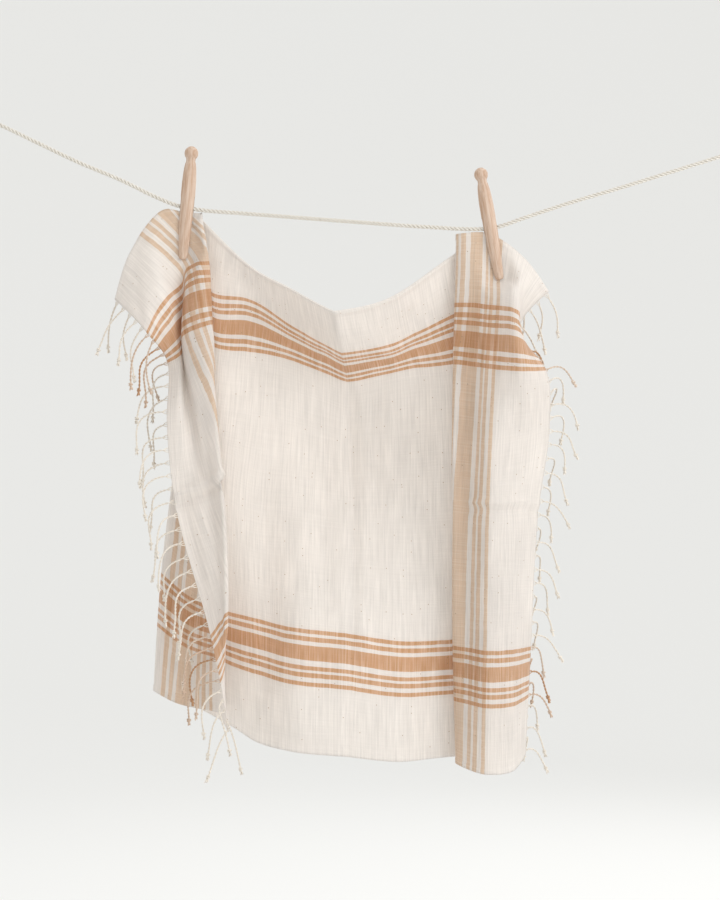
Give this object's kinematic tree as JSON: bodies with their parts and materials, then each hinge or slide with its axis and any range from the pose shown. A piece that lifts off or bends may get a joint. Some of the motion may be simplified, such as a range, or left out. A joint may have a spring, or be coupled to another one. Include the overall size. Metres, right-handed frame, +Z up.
{
  "type": "hand towel pegged on a clothesline",
  "caption": "Striped woven hand towel with knotted fringe at both ends, hung sideways with pleats from a taut cotton clothesline by turned wooden pegs.",
  "frame": {"origin": "where the left end of the clothesline meets its stopper knot", "axes": "+X right along the clothesline, +Y back from the viewer, +Z up"},
  "size_m": [0.7739, 0.1265, 0.6371],
  "materials": {
    "towel_cotton": "slubby plain weave, cream with tan stripe bands along all four edges",
    "fringe_cotton": "twisted and knotted warp ends, cream, tan where the bands end",
    "peg_wood": "bare sanded beech, turned",
    "rope_cotton": "twisted cotton rope"
  },
  "bodies": {
    "root": {"towel": "towel_cotton", "fringe_left": "fringe_cotton", "fringe_right": "fringe_cotton", "peg_left": "peg_wood", "peg_right": "peg_wood", "line": "rope_cotton", "line_knot_left": "rope_cotton", "line_knot_right": "rope_cotton"}
  },
  "joints": []
}
